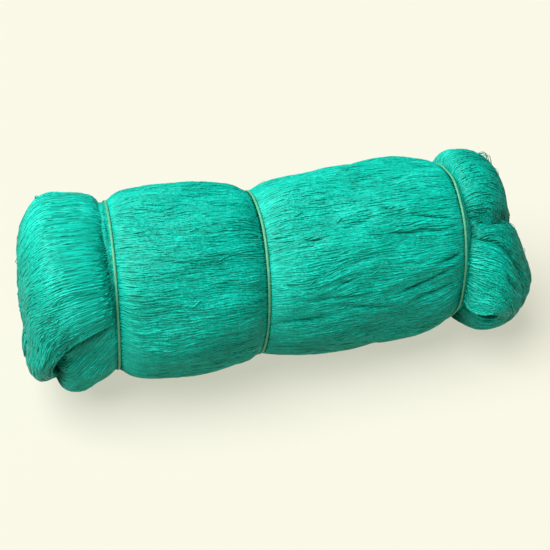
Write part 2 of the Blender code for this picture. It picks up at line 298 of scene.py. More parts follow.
def fine_row_numbers(rows):
    """Fractional row numbers, finely spaced through all of a table."""
    return np.linspace(0, len(rows) - 1, (len(rows) - 1) * FINE_STEPS + 1)


def smoothed_at(rows, at):
    """Rows of a table at any fractional row number, on the Catmull-Rom curve through the rows."""
    table = np.array(rows, float)
    padded = np.vstack([2 * table[0] - table[1], table, 2 * table[-1] - table[-2]])
    first = np.clip(np.floor(at).astype(int), 0, len(table) - 2)
    t = (at - first)[..., None]
    a, b, c, d = (padded[first + k] for k in range(4))
    return 0.5 * (
        2 * b + (c - a) * t + (2 * a - 5 * b + 4 * c - d) * t**2 + (3 * b - a - 3 * c + d) * t**3
    )


def blended(grid, i, below, j, beside, s, t):
    """The value between four points of a grid, s of the way from i and t of the way from j."""
    near = grid[i, j] * (1 - t) + grid[i, beside] * t
    far = grid[below, j] * (1 - t) + grid[below, beside] * t
    return near * (1 - s) + far * s


def random_field(along, around, cell, cells_round, seed):
    """Smooth random values from -1 to 1: a lattice of random numbers, eased between its points."""
    lattice = np.random.default_rng(seed).uniform(-1, 1, (LATTICE_ROWS, cells_round))
    row = along / cell + LATTICE_START
    column = around / FULL_TURN * cells_round
    row_floor, column_floor = np.floor(row), np.floor(column)
    s = row - row_floor
    t = column - column_floor
    s = s * s * (3 - 2 * s)
    t = t * t * (3 - 2 * t)
    i = row_floor.astype(int) % LATTICE_ROWS
    j = column_floor.astype(int) % cells_round
    return blended(lattice, i, (i + 1) % LATTICE_ROWS, j, (j + 1) % cells_round, s, t)


def fields_at(fields, along, around, seed, base=0.0):
    """The base with these random fields added, each as strong as its amount."""
    for amount, cell, cells_round, own_seed in fields:
        base = base + amount * random_field(along, around, cell, cells_round, seed + own_seed)
    return base


# ---- surfaces of the net
def envelope_at(x, name):
    """The unpinched body's value of one column at x, from a fine smoothed table."""
    fine = smoothed_at(ENVELOPE_ROWS, fine_row_numbers(ENVELOPE_ROWS))
    return np.interp(x, fine[:, 0], fine[:, ENVELOPE_COLUMNS.index(name)])


def pinch_at(x, name):
    """How far all the ties together draw the body in at x: each fades away from its land."""
    total = np.zeros_like(x)
    for tie in TIES.values():
        away = np.maximum(np.abs(x - tie.x) - TIE_LAND, 0)
        reach = np.where(x < tie.x, tie.left_reach, tie.right_reach)
        total += tie[Tie._fields.index(name)] * np.exp(-away / reach)
    return total


def slanted(x, angle):
    """Where along X the section of x has its point at this angle: it slants as a tie near by."""
    moved = x + 0.0
    for tie in TIES.values():
        fade = np.exp(-(((x - tie.x) / SLANT_REACH) ** 2))
        moved = moved + tie.slant * fade * np.sin(angle)
    return moved


def levelled(x):
    """The place whose section the body has at x: a tie's own, anywhere on its land."""
    for tie in TIES.values():
        x = np.where(np.abs(x - tie.x) < TIE_LAND, tie.x, x)
    return x


def nearest_tie(x):
    """The distance from x to the nearest tie."""
    return np.min([np.abs(x - tie.x) for tie in TIES.values()], axis=0)


def looseness(x):
    """From 0 under a tie to 1 a few centimetres from every tie, where the net bulges freely."""
    return 1 - np.exp(-((np.maximum(nearest_tie(x) - TIE_LAND, 0) / LOOSENING) ** 1.5))


def furrows_at(x, angle):
    """Depth of the broad furrows, less near a tie, where the net is tight."""
    most = max(tie.side_pinch for tie in TIES.values())
    loose = 1 - FURROWS_LOST * pinch_at(x, "side_pinch") / most
    return loose * sum(
        depth * np.cos(count * angle + phase + drift * x) for count, depth, phase, drift in FURROWS
    )


def creases_at(surface, run, angle):
    """Depth of the creases: each is a valley with a bell-shaped section, fading at its ends."""
    total = np.zeros_like(run)
    for crease in CREASES.get(surface, ()):
        tilt = math.radians(crease.tilt)
        ahead = run - crease.run
        turned = (angle - crease.angle + math.pi) % FULL_TURN - math.pi
        up = -CREASE_RADII[surface] * turned
        along = ahead * math.cos(tilt) + up * math.sin(tilt)
        across = up * math.cos(tilt) - ahead * math.sin(tilt)
        bell = np.exp(-((along / crease.half_length) ** 4) - (across / crease.half_width) ** 2)
        total -= crease.depth * bell
    return total


def rounded(angle, power):
    """Cosine and sine of angle, drawn out from a circle (power 2) towards a box (more)."""
    cosine, sine = np.cos(angle), np.sin(angle)
    reach = (np.abs(cosine) ** power + np.abs(sine) ** power) ** (-1 / power)
    return reach * cosine, reach * sine


def gathers(run, angle, seed):
    """Relief of bunched net along its wandering strands: soft bunches and finer ones."""
    share = angle - fields_at(WANDER, run, angle, seed)
    return fields_at(BUNCHES, run, share, seed)


SEAMS = {}  # filled in below: how near each surface's grid lies to the others


def seam_at(name, run, angle):
    """Depth of the valley beside other bundles of net, read from this surface's grid."""
    if name not in SEAMS:
        return 0.0
    start, end, near_others = SEAMS[name]
    rows, columns = near_others.shape
    row = ramp(run, start, end - start) * (rows - 1)
    column = (angle % FULL_TURN) / FULL_TURN * columns
    i = np.minimum(row.astype(int), rows - 2)
    j = column.astype(int) % columns
    s, t = row - i, column - np.floor(column)
    return -BUNDLES[name].seam * blended(near_others, i, i + 1, j, (j + 1) % columns, s, t)


def valley_at(surface, run, angle):
    """Depth of a surface's valleys: its seams, which fade towards the ties, and its creases."""
    if surface == "body":
        parted = ramp(nearest_tie(run), *BODY_PARTING)
    else:
        parted = ramp(run, *FOLD_PARTING)
    return parted * seam_at(surface, run, angle) + creases_at(surface, run, angle)


def body_turn(x, angle):
    """How far the strands over the hank's top turn to its front on their way along +X."""
    return BODY_TURN * x * np.maximum(np.sin(angle), 0)


def body_point(x, angle, lift):
    """A point of the body: its ellipse at x, less the ties' pinch, plus furrows and gathers."""
    place = levelled(x)
    half_width = envelope_at(place, "half_width") - pinch_at(place, "side_pinch")
    top = envelope_at(place, "top") - pinch_at(place, "top_pinch")
    bottom = envelope_at(place, "bottom") + pinch_at(place, "bottom_pinch")
    relief = gathers(x, angle - body_turn(x, angle), BODY_SEED) + valley_at("body", x, angle)
    out = furrows_at(place, angle) + looseness(x) * relief + lift
    power = np.where(np.sin(angle) < 0, envelope_at(place, "underside_power"), ELLIPSE)
    across, up = rounded(angle, power)
    y = envelope_at(place, "sway") + (half_width + out) * across
    z = (top + bottom) / 2 + ((top - bottom) / 2 + out) * up
    return np.stack([slanted(x, angle), y, z], axis=-1)


def way_along(points):
    """Length along a line of points, up to each of them."""
    return np.concatenate([[0], np.cumsum(np.linalg.norm(np.diff(points, axis=0), axis=1))])


def unit(vectors):
    """The vectors, each one as long as 1."""
    return vectors / (np.linalg.norm(vectors, axis=-1, keepdims=True) + TINY)


def fold_arc(rows):
    """A fine run of row numbers, and the length along the fold's outer side up to each."""
    at = fine_row_numbers(rows)
    lean, x, z, height = smoothed_at(rows, at).T[:4]
    lean = np.radians(lean)
    outer = np.stack([x + height * np.sin(lean), z + height * np.cos(lean)], axis=1)
    return at, way_along(outer)


def fold_surface(name):
    """(point function, length) of an end fold: a high arch outside and a shallow one inside.

    The function takes the length along the strands, the angle round the section, and the lift.
    """
    side, inner, *_, seed, rows = END_FOLDS[name]
    row_numbers, arc = fold_arc(rows)

    def point(run, angle, lift):
        table = smoothed_at(rows, np.interp(run, arc, row_numbers))
        columns = (table[..., i] for i in range(len(FOLD_COLUMNS)))
        lean, x, z, height, half_width, sway, power = columns
        freed = 1 - np.exp(-((run / FOLD_FREEING) ** 3))
        out = lift + freed * gathers(run, angle, seed) + valley_at(name, run, angle)
        across, up = rounded(angle, power)
        rise = np.where(up > 0, height + out, inner + lift) * up
        lean = np.radians(lean)
        return np.stack([
            x + side * rise * np.sin(lean),
            sway + (half_width + out) * across,
            z + rise * np.cos(lean),
        ], axis=-1)

    return point, arc[-1]


def closeness(points, other, outward):
    """How near points lie to another surface: 1 on it or in it, and 0 well clear of it."""
    near = np.empty(len(points))
    other_square = (other**2).sum(axis=1)
    for part in np.array_split(np.arange(len(points)), len(points) // PART_SIZE + 1):
        nearest = (other_square - 2 * points[part] @ other.T).argmin(axis=1)
        clear = ((points[part] - other[nearest]) * outward[nearest]).sum(axis=1)
        near[part] = np.exp(-((np.maximum(clear, 0) / SEAM_WIDTH) ** 2))
    return near


def find_seams(surfaces):
    """For each surface, a grid of how near it is to the nearest other: (start, end, grid)."""
    grids = {}
    columns = np.arange(GRID_COLUMNS) * FULL_TURN / GRID_COLUMNS
    for name, (point, start, end) in surfaces.items():
        run, angle = np.meshgrid(np.linspace(start, end, GRID_ROWS), columns, indexing="ij")
        points = point(run, angle, np.zeros_like(run))
        outward = unit(point(run, angle, np.full_like(run, NORMAL_STEP)) - points)
        grids[name] = (points.reshape(-1, 3), outward.reshape(-1, 3))
    found = {}
    for name, (points, _) in grids.items():
        others = [grids[other] for other in grids if other != name]
        nearness = np.max([closeness(points, *other) for other in others], axis=0)
        found[name] = (*surfaces[name][1:], nearness.reshape(GRID_ROWS, GRID_COLUMNS))
    return found


def joined_seams(left, right):
    """One grid for the whole body, from the grids of its two ends."""
    start, end = left[0], right[1]
    run = np.linspace(start, end, JOINED_ROWS)
    both = []
    for first, last, grid in (left, right):
        rows = np.linspace(first, last, GRID_ROWS)
        both.append([np.interp(run, rows, column, left=0, right=0) for column in grid.T])
    return start, end, np.maximum(*both).T


def measure_seams(folds):
    """Fills in SEAMS: the left fold meets the body's left end, and the others its right end."""
    surfaces = {name: (point, 0, length) for name, (point, length) in folds.items()}
    left_end = {"body": (body_point, FIRST_X, LEFT_X + END_OVERLAP)}
    right_end = {"body": (body_point, RIGHT_X - END_OVERLAP, LAST_X)}
    at_left = find_seams(left_end | {"fold_over_left": surfaces.pop("fold_over_left")})
    at_right = find_seams(right_end | surfaces)
    body = joined_seams(at_left.pop("body"), at_right.pop("body"))
    SEAMS.update(at_left | at_right | {"body": body})


# ---- meshes
UV_MAP = "OFBake"
MARKS = (("shade", "FLOAT", "value"), ("strand", "FLOAT_VECTOR", "vector"))
HALVES = ([0, 1, 2], [0, 2, 3])  # the two triangles of a quad


def halved(quads):
    """The first triangles of all the quads, and then the second ones."""
    return np.concatenate([quads[:, half] for half in HALVES])


def above_floor(points, clearance):
    """The points, with none lower than this clearance over the floor."""
    raised = points.copy()
    raised[..., 2] = np.maximum(raised[..., 2], clearance)
    return raised


def add_object(name, data):
    """A new object in the scene."""
    made = bpy.data.objects.new(name, data)
    bpy.context.scene.collection.objects.link(made)
    return made


def flat(values, kind=np.float32):
    """One row of all the values, as a mesh takes them."""
    return values.astype(kind).ravel()


def make_mesh(name, points, faces, uvs, marks=()):
    """A smooth object from points, triangles as index rows, and a UV pair for each corner.

    `marks` may hold values of the points that their material reads, as MARKS names them. All the
    triangles are turned round if they face inwards.
    """
    a, b, c = (points[faces[:, k]] for k in range(3))
    if np.einsum("ij,ij->i", a, np.cross(b, c)).sum() < 0:  # they face inwards
        faces, uvs = faces[:, ::-1], uvs[:, ::-1]
    mesh = bpy.data.meshes.new(name)
    mesh.vertices.add(len(points))
    mesh.vertices.foreach_set("co", flat(points + ORIGIN_SHIFT))
    mesh.loops.add(faces.size)
    mesh.loops.foreach_set("vertex_index", flat(faces, np.int32))
    mesh.polygons.add(len(faces))
    mesh.polygons.foreach_set("loop_start", np.arange(0, faces.size, 3, dtype=np.int32))
    mesh.update(calc_edges=True)
    mesh.uv_layers.new(name=UV_MAP).data.foreach_set("uv", flat(uvs))
    for (mark, kind, field), values in zip(MARKS, marks):
        mesh.attributes.new(mark, kind, "POINT").data.foreach_set(field, flat(values))
    mesh.shade_smooth()
    return add_object(name, mesh)


def grid_faces(rows, columns):
    """Triangles of a grid whose columns close on themselves, and their UVs from 0 to 1 each way."""
    i, k = np.meshgrid(np.arange(rows - 1), np.arange(columns), indexing="ij")
    row, next_row, beside = i * columns, (i + 1) * columns, (k + 1) % columns
    quads = np.stack([row + k, row + beside, next_row + beside, next_row + k], axis=-1)
    u = np.stack([i, i, i + 1, i + 1], axis=-1) / (rows - 1)
    v = np.stack([k, k + 1, k + 1, k], axis=-1) / columns
    uvs = np.stack([u, v], axis=-1).reshape(-1, 4, 2)
    return halved(quads.reshape(-1, 4)), halved(uvs)


def skin_depth(surface, run):
    """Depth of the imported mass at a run: on the body it rises between the twines at each tie."""
    if surface != "body":
        return np.full_like(run, SKIN_DEPTH)
    return TIED_SKIN_DEPTH + (SKIN_DEPTH - TIED_SKIN_DEPTH) * looseness(run)


def net_skin(surface, point, start, end, along_steps, around_steps):
    """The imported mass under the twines: a closed skin, a grid along and round one surface.

    Its first and last rings draw in to a middle point.
    """
    run = np.linspace(start, end, along_steps)
    angle = np.linspace(0, FULL_TURN, around_steps, endpoint=False)
    run, angle = np.meshgrid(run, angle, indexing="ij")
    rings = point(run, angle, skin_depth(surface, run))
    points = np.vstack([rings.reshape(-1, 3), rings[0].mean(axis=0), rings[-1].mean(axis=0)])
    sides, side_uvs = grid_faces(along_steps, around_steps)
    step = np.arange(around_steps)
    after = (step + 1) % around_steps
    last = (along_steps - 1) * around_steps
    middles = [np.full(around_steps, len(points) - back) for back in (2, 1)]
    first_cap = np.stack([after, step, middles[0]], axis=-1)
    last_cap = np.stack([last + step, last + after, middles[1]], axis=-1)
    across = np.stack([step + 1, step, step + 0.5], axis=-1) / around_steps
    first_uvs = np.stack([0 * across, across], axis=-1)
    last_uvs = np.stack([0 * across + 1, across[:, [1, 0, 2]]], axis=-1)
    faces = np.vstack([sides, first_cap, last_cap])
    uvs = np.concatenate([side_uvs, first_uvs, last_uvs])
    return make_mesh(f"net_{surface}", above_floor(points, SKIN_CLEARANCE), faces, uvs)


def twine_tubes(name, centres, outward, radius, marks):
    """Three-sided tubes along many routes at once: centres (twine, step, 3), with pointed ends.

    Each section is lower than it is wide, with one corner straight outward. `marks` holds values
    for each centre.
    """
    count, steps = centres.shape[:2]
    along = unit(np.gradient(centres, axis=1))
    outward = unit(outward - (outward * along).sum(axis=2, keepdims=True) * along)
    across = np.cross(along, outward)
    radius = radius.copy()
    radius[:, [0, -1]] = POINT_RADIUS
    turns = [side * FULL_TURN / TUBE_SIDES for side in range(TUBE_SIDES)]
    corners = [
        centres + radius[..., None] * (FLATNESS * math.cos(t) * outward + math.sin(t) * across)
        for t in turns
    ]
    points = above_floor(np.stack(corners, axis=2), TWINE_CLEARANCE).reshape(-1, 3)
    index = np.arange(count * steps * TUBE_SIDES).reshape(count, steps, TUBE_SIDES)
    near, far = index[:, :-1], index[:, 1:]
    quads = np.stack([near, np.roll(near, -1, axis=2), np.roll(far, -1, axis=2), far], axis=-1)
    caps = np.concatenate([index[:, 0][:, ::-1], index[:, -1]])
    twine, side = np.arange(count)[:, None, None], np.arange(TUBE_SIDES)
    place = np.broadcast_to(np.arange(steps - 1)[None, :, None] / (steps - 1), near.shape)
    low = np.broadcast_to((twine + side * SIDE_UV) / count, near.shape)
    high, next_place = low + SIDE_UV / count, place + 1 / (steps - 1)
    uvs = np.stack([place, low, place, high, next_place, high, next_place, low], axis=-1)
    cap_uvs = np.zeros((len(caps), 3, 2))
    cap_uvs[..., 1] = np.tile(np.arange(count) / count, 2)[:, None]
    faces = np.concatenate([halved(quads.reshape(-1, 4)), caps])
    uvs = np.concatenate([halved(uvs.reshape(-1, 4, 2)), cap_uvs])
    marks = [np.repeat(mark.reshape(count * steps, -1), TUBE_SIDES, axis=0) for mark in marks]
    return make_mesh(name, points, faces, uvs, marks)


def even_shares(point, route, run, start, end, count):
    """Shares of this many twines that lie evenly on the surface at one run."""
    share = np.linspace(start, end, EVEN_STEPS)
    at = np.full_like(share, run)
    ring = point(at, share + route(at, share), np.zeros_like(share))
    way = way_along(ring)
    return np.interp(np.linspace(0, way[-1], count), way, share)


def twine_layer(span, shares, surface_seed, seed, layer, route):
    """(run, angle, height, radius) of a layer's knotted twines, from end to end of the span.

    A twine's angle is its share, plus the strands' route and wander, plus a wave that brings it to
    its neighbours in turn, a knot at each meeting. Its lift makes it dip in and out of sight.
    """
    start, end = span
    dice = np.random.default_rng(seed)
    bars = max(1, round((end - start) / BAR))
    beats = np.arange(bars * STEPS_PER_BAR + 1)[None, :] / STEPS_PER_BAR
    count = len(shares)
    twine = np.arange(count)[:, None]
    run = start + (end - start) * beats / bars + 0.0 * twine
    share = shares[:, None] + 0.0 * run
    eased = ramp(np.minimum(run - start, end - run), 0, SHIFT_EASE)
    shift = fields_at(KNOT_SHIFTS, run, share, seed, dice.uniform(-0.5, 0.5, (count, 1)) * BAR)
    shift = KNOT_SHIFT * eased * shift * min((end - start) / BAR / FULL_SHIFT_BARS, 1)
    run = np.clip(run + shift, start, end)
    pitch = np.abs(np.gradient(shares))[:, None]
    wave = NET_SWING * pitch * np.cos(math.pi * (twine + beats))
    loose_swing = pitch * fields_at(LOOSE_SWING, run, share, seed)
    own = dice.uniform(-OWN_PLACE, OWN_PLACE, (count, 1)) * pitch
    wander = fields_at(WANDER, run, share, surface_seed)
    angle = share + route(run, share) + wander + wave + loose_swing + own
    height = layer.depth + np.maximum(layer.play * fields_at(LIFTS, run, share, seed), LOWEST_LIFT)
    knots = 1 + KNOT_SWELL * (beats % 1 == 0)
    radius = TWINE_HALF_WIDTH * dice.uniform(*WIDTH_RANGE, (count, 1)) * knots
    return run, angle, height, radius


def finish_twines(name, surface, point, run, angle, height, radius, seed):
    """The tubes of a layer, toned by twine and patch, with painted light and shade by bundle, depth
    and valley.
    """
    centres = point(run, angle, height)
    outward = point(run, angle, height + NORMAL_STEP) - centres
    shade = fields_at(SHADES, run, angle, seed, MIDDLE_SHADE)
    dice = np.random.default_rng(seed + OWN_SHADE_SEED)
    shade += dice.uniform(-OWN_SHADE, OWN_SHADE, (len(run), 1))
    # painted shade: the colour darkens in valleys and with depth, and lightens on raised twines
    valley = PAINTED_SHADE_OF_VALLEY * valley_at(surface, run, angle)
    shade += PAINTED_SHADE_OF_HEIGHT * (height - height.mean()) + valley
    # painted light and shade: each bundle's twines are painted lighter or darker near the tie and
    # past the turn over the hank's end
    _, painted_light_leaving, turned, first, last = BUNDLES[surface]
    shade += painted_light_leaving + (turned - painted_light_leaving) * ramp(run, first, last - first)
    number = np.arange(len(run))[:, None] + seed
    strand = np.stack([run / DASH, STRAND_GAP * number + 0 * run, 0 * run], axis=-1)
    return twine_tubes(name, centres, outward, radius, (np.clip(shade, 0, 1), strand))


def body_twines(name, span, shares, seed, layer, route):
    """A layer of twines on the body between two ties, pressed in under both."""
    run, angle, height, radius = twine_layer(span, shares, BODY_SEED, seed, layer, route)
    loose = looseness(run)
    height = height * loose + (1 - loose) * TIED_DEPTH
    radius = radius * (1 + TIED_SWELL - TIED_SWELL * loose)
    return finish_twines(name, "body", body_point, run, angle, height, radius, seed)


def turn_under(run, share):
    """How far the strands past the left tie turn down and under."""
    beyond = np.maximum(LEFT_X - TUCK_START - run, 0)
    return -np.cos(share) * np.minimum(TUCK_RATE * beyond, MOST_TUCK)


def crown_route(drift, rise, arrive):
    """A fold's route: from run `rise` to `arrive` its strands drift to the crown, off the lip."""

    def route(run, share):
        gone = ramp(run, rise, arrive - rise)
        off_lip = ramp(math.pi - share, *LIP_EASE) * ramp(share, *LIP_EASE)
        return drift * gone * gone * (3 - 2 * gone) * np.cos(share) * off_lip

    return route


STRAY_STEPS = 9
STRAY_LENGTH = (0.012, 0.026)
STRAY_TURN = 0.04  # how far round a stray twine may go, and how far it may bow
STRAY_BOW = 0.02
STRAY_LEAN = (0.7, 1.4)  # under 1 it stands highest near its start, and over 1 near its end
STRAY_FOOT = -0.0015  # how deep its feet sink
STRAY_WIDTH = 0.5  # of a twine's


def stray_twines(name, surface, point, seed, span, angles, count, rise, size=1.0):
    """Slack twines that stand a little proud: each is a low arch whose feet sink into the net."""
    dice = np.random.default_rng(seed)
    t = np.linspace(0, 1, STRAY_STEPS)[None, :]
    start = dice.uniform(*span, (count, 1))
    length = size * dice.uniform(*STRAY_LENGTH, (count, 1))
    run = start + length * (t - 0.5)
    middle = dice.uniform(*angles, (count, 1))
    angle = middle + dice.uniform(-STRAY_TURN, STRAY_TURN, (count, 1)) * (t - 0.5)
    angle = angle + dice.uniform(0.0, STRAY_BOW, (count, 1)) * np.sin(2 * math.pi * t)
    lean = dice.uniform(*STRAY_LEAN, (count, 1))
    height = STRAY_FOOT + dice.uniform(*rise, (count, 1)) * np.sin(math.pi * t**lean)
    radius = np.full_like(run, TWINE_HALF_WIDTH * STRAY_WIDTH)
    return finish_twines(name, surface, point, run, angle, height, radius, seed)


# ---- materials
def linear(hex_colour):
    """Linear RGBA of an sRGB hex colour such as 1FC9A8."""
    srgb = [int(hex_colour[i : i + 2], 16) / 255 for i in (0, 2, 4)]
    return [c / 12.92 if c <= 0.04045 else ((c + 0.055) / 1.055) ** 2.4 for c in srgb] + [1.0]


def add_node(tree, kind, settings=None, **links):
    """A node of this kind, with its settings, its plain input values, and links from sockets."""
    node = tree.nodes.new(kind)
    for key, value in (settings or {}).items():
        setattr(node, key, value)
    for key, value in links.items():
        numbered = key.startswith("in") and key[2:].isdigit()
        socket = node.inputs[int(key[2:]) if numbered else key.replace("_", " ")]
        if isinstance(value, bpy.types.NodeSocket):
            tree.links.new(value, socket)
        else:
            socket.default_value = value
    return node


def new_material(name):
    """An empty material tree: (material, tree)."""
    made = bpy.data.materials.new(name)
    made.use_nodes = True
    made.node_tree.nodes.clear()
    return made, made.node_tree


def add_shader(tree, **links):
    """The one shader of a material, and its output."""
    output = add_node(tree, "ShaderNodeOutputMaterial")
    shader = add_node(tree, "ShaderNodeBsdfPrincipled", **links)
    tree.links.new(shader.outputs["BSDF"], output.inputs["Surface"])


def add_noise(tree, vector, **values):
    """A noise texture over this vector socket: its value."""
    return add_node(tree, "ShaderNodeTexNoise", Vector=vector, **values).outputs["Fac"]


def stretched_uv(tree, scale):
    """The piece's own UV map, stretched."""
    uv = add_node(tree, "ShaderNodeUVMap", {"uv_map": UV_MAP}).outputs["UV"]
    return add_node(tree, "ShaderNodeMapping", Vector=uv, Scale=scale).outputs["Vector"]


def times_plus(tree, value, times, plus):
    """value * times + plus."""
    settings = {"operation": "MULTIPLY_ADD"}
    return add_node(tree, "ShaderNodeMath", settings, in0=value, in1=times, in2=plus).outputs[0]


def colour_ramp(tree, factor, stops):
    """A colour ramp of (position, hex) stops, driven by factor."""
    ramp_node = add_node(tree, "ShaderNodeValToRGB", Fac=factor)
    elements = ramp_node.color_ramp.elements
    while len(elements) < len(stops):
        elements.new(0.5)
    for element, (position, colour) in zip(elements, stops):
        element.position = position
        element.color = linear(colour)
    return ramp_node.outputs["Color"]


def polyethylene_twine():
    """Green polyethylene net twine: drawn filaments twisted to a cord, with a waxy, silky gleam.

    The eye sees a saturated green, painted brighter on raised twines, with short glints along them:
    a bump, and painted highlight in the colour.
    """
    made, tree = new_material("knotted polyethylene twine")
    shade = add_node(tree, "ShaderNodeAttribute", {"attribute_name": "shade"})
    place = add_node(tree, "ShaderNodeTexCoord").outputs["Object"]
    strand = add_node(tree, "ShaderNodeAttribute", {"attribute_name": "strand"})
    patches = add_noise(tree, place, Scale=38.0, Detail=3.0)
    dashes = add_noise(tree, strand.outputs["Vector"], Scale=1.0, Detail=1.0)
    # painted highlight: the dashes lighten and darken the colour along each twine as glints, over
    # the twine's own random tone in patches
    painted_gleam_and_tone = times_plus(tree, dashes, 0.9, times_plus(tree, patches, 0.5, -0.70))
    factor = add_node(
        tree, "ShaderNodeMath", {"operation": "ADD", "use_clamp": True},
        in0=shade.outputs["Fac"], in1=painted_gleam_and_tone,
    )
    colour = colour_ramp(tree, factor.outputs[0], (
        (0.0, "007765"), (0.35, "008D7A"), (0.65, "00A08C"), (1.0, "16B9A5"),
    ))
    filaments = add_noise(tree, place, Scale=1500.0, Detail=1.0)
    fine = add_node(tree, "ShaderNodeBump", Strength=0.35, Distance=0.0003, Height=filaments)
    bump = add_node(
        tree, "ShaderNodeBump",
        Strength=0.6, Distance=0.0030, Height=dashes, Normal=fine.outputs["Normal"],
    )
    add_shader(
        tree, Base_Color=colour, Roughness=0.45, IOR=1.51, Specular_IOR_Level=0.15,
        Normal=bump.outputs["Normal"],
    )
    return made


def packed_net():
    """The mass of gathered net under the outer twines: more of the same twine, deeper, and painted
    a little darker as shade.

    The eye sees only the nearest strands of it, as fine ridges that run along the hank.
    """
    made, tree = new_material("gathered polyethylene net")
    place = stretched_uv(tree, (58.0, 230.0, 1.0))
    strands = add_noise(tree, place, Scale=1.0, Detail=2.0, Distortion=0.4)
    # painted shade: a little darker than the twines' colour, for the deeper layers
    colour = colour_ramp(tree, strands, ((0.35, "006F5F"), (0.50, "008976"), (0.65, "05A893")))
    bump = add_node(tree, "ShaderNodeBump", Strength=0.8, Distance=0.0025, Height=strands)
    add_shader(
        tree, Base_Color=colour, Roughness=0.6, IOR=1.51, Specular_IOR_Level=0.08,
        Normal=bump.outputs["Normal"],
    )
    return made


def split_film_twine():
    """Flat split-film polypropylene twine: extruded tape, slit and twisted.

    The eye sees a pale yellow-green, semi-matt, with faint fibres along it.
    """
    made, tree = new_material("split-film polypropylene twine")
    fibres = add_noise(tree, stretched_uv(tree, (90.0, 14.0, 1.0)), Scale=1.0, Detail=3.0)
    colour = colour_ramp(tree, fibres, ((0.3, "357C5C"), (0.5, "458F6C"), (0.72, "58A37F")))
    add_shader(tree, Base_Color=colour, Roughness=0.5, IOR=1.49, Specular_IOR_Level=0.25)
    return made


# ---- pieces
# Bays of the body: where each starts and ends, the shares of the turn that show there, how many
# twines each layer has, their route, and their seed.
Bay = namedtuple("Bay", "start end first_share last_share twines route seed")
BAYS = {
    "tucked_end": Bay(-0.2885, LEFT_X, 2.6, 6.9, 170, turn_under, 100),
    "left_neck": Bay(-0.2350, LEFT_X, 0.55, 2.65, 86, turn_under, 140),
    "left_bay": Bay(LEFT_X, MIDDLE_X, 0.0, FULL_TURN, 280, body_turn, 180),
    "right_bay": Bay(MIDDLE_X, RIGHT_X, 0.0, FULL_TURN, 280, body_turn, 220),
    "right_core": Bay(RIGHT_X, 0.2700, 0.0, FULL_TURN, 210, body_turn, 260),
}
BODY_SKIN_STEPS = (280, 260)  # along it and round it
BODY_SKIN_INSET = 0.0015  # from both ends of its envelope

FOLD_START, FOLD_END = 0.004, 0.002  # how far inside the fold's ends its twines stay
EVEN_AT = 0.4  # the share of a fold's length where they are evenly spread

# Stray twines: where they lie, how many, and how high they stand.
FOLD_STRAYS = {"angles": (0.3, 2.9), "count": 10, "rise": (0.0020, 0.0040)}
FOLD_STRAY_START, FOLD_STRAY_SHARE = 0.06, 0.6  # first run, and last as a share of the length
BODY_STRAYS = {
    "seed": 700, "span": (-0.18, 0.20), "angles": (0, FULL_TURN), "count": 60,
    "rise": (0.0018, 0.0035),
}
# Snags, where a few loops of net stand up together.
Snag = namedtuple("Snag", "fold run angle size lowest highest seed")
SNAGS = {
    "snag_1": Snag("fold_top_right", 0.0905, 1.42, 1.00, 0.0045, 0.0075, 800),
    "snag_2": Snag("fold_over_left", 0.0388, 1.06, 0.16, 0.0026, 0.0044, 801),
}
SNAG_TWINES = 7
SNAG_RUN, SNAG_ANGLE = 0.006, 0.06  # how far a snag of size 1 reaches each way


def net_piece(piece, material):
    """Gives a netting piece its material, and its place in the hank."""
    piece.data.materials.append(material)
    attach(piece, "root")
    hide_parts("net_hank")


def make_body(mass, twine):
    """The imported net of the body, and the layers of twines on each of its bays."""
    start, end = FIRST_X + BODY_SKIN_INSET, LAST_X - BODY_SKIN_INSET
    net_piece(net_skin("body", body_point, start, end, *BODY_SKIN_STEPS), mass)
    for name, bay in BAYS.items():
        closed = bay.last_share - bay.first_share == FULL_TURN
        shares = np.linspace(bay.first_share, bay.last_share, bay.twines, endpoint=not closed)
        for layer in LAYERS:
            seed = bay.seed + layer.seed
            label = f"twines_{name}_{layer.name}"
            span = (bay.start, bay.end)
            net_piece(body_twines(label, span, shares, seed, layer, bay.route), twine)
            shares = shares + 0.5 * (shares[1] - shares[0])


def make_fold(name, point, length, mass, twine):
    """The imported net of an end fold, its layers of twines, and its stray ones."""
    fold = END_FOLDS[name]
    net_piece(net_skin(name, point, 0, length, *fold.skin_steps), mass)
    route = crown_route(*fold.drift)
    shares = even_shares(point, route, EVEN_AT * length, -LIP, math.pi + LIP, fold.twines)
    for layer in LAYERS:
        seed = fold.seed + FOLD_TWINES_SEED + layer.seed
        span = (FOLD_START, length - FOLD_END)
        twines = twine_layer(span, shares, fold.seed, seed, layer, route)
        label = f"twines_{name}_{layer.name}"
        net_piece(finish_twines(label, name, point, *twines, seed), twine)
        shares = shares + 0.5 * np.gradient(shares)
    span = (FOLD_STRAY_START, FOLD_STRAY_SHARE * length)
    seed = fold.seed + FOLD_STRAYS_SEED
    net_piece(stray_twines(f"stray_{name}", name, point, seed, span, **FOLD_STRAYS), twine)


def make_net():
    """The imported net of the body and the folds, and the twines that lie on each."""
    mass, twine = packed_net(), polyethylene_twine()
    folds = {name: fold_surface(name) for name in END_FOLDS}
    measure_seams(folds)
    make_body(mass, twine)
    for name, (point, length) in folds.items():
        make_fold(name, point, length, mass, twine)
    for label, (name, run, angle, size, *rise, seed) in SNAGS.items():
        span = (run - SNAG_RUN * size, run + SNAG_RUN * size)
        angles = (angle - SNAG_ANGLE * size, angle + SNAG_ANGLE * size)
        place = (label, name, folds[name][0], seed)
        net_piece(stray_twines(*place, span, angles, SNAG_TWINES, rise, size), twine)
    net_piece(stray_twines("stray_body", "body", body_point, **BODY_STRAYS), twine)


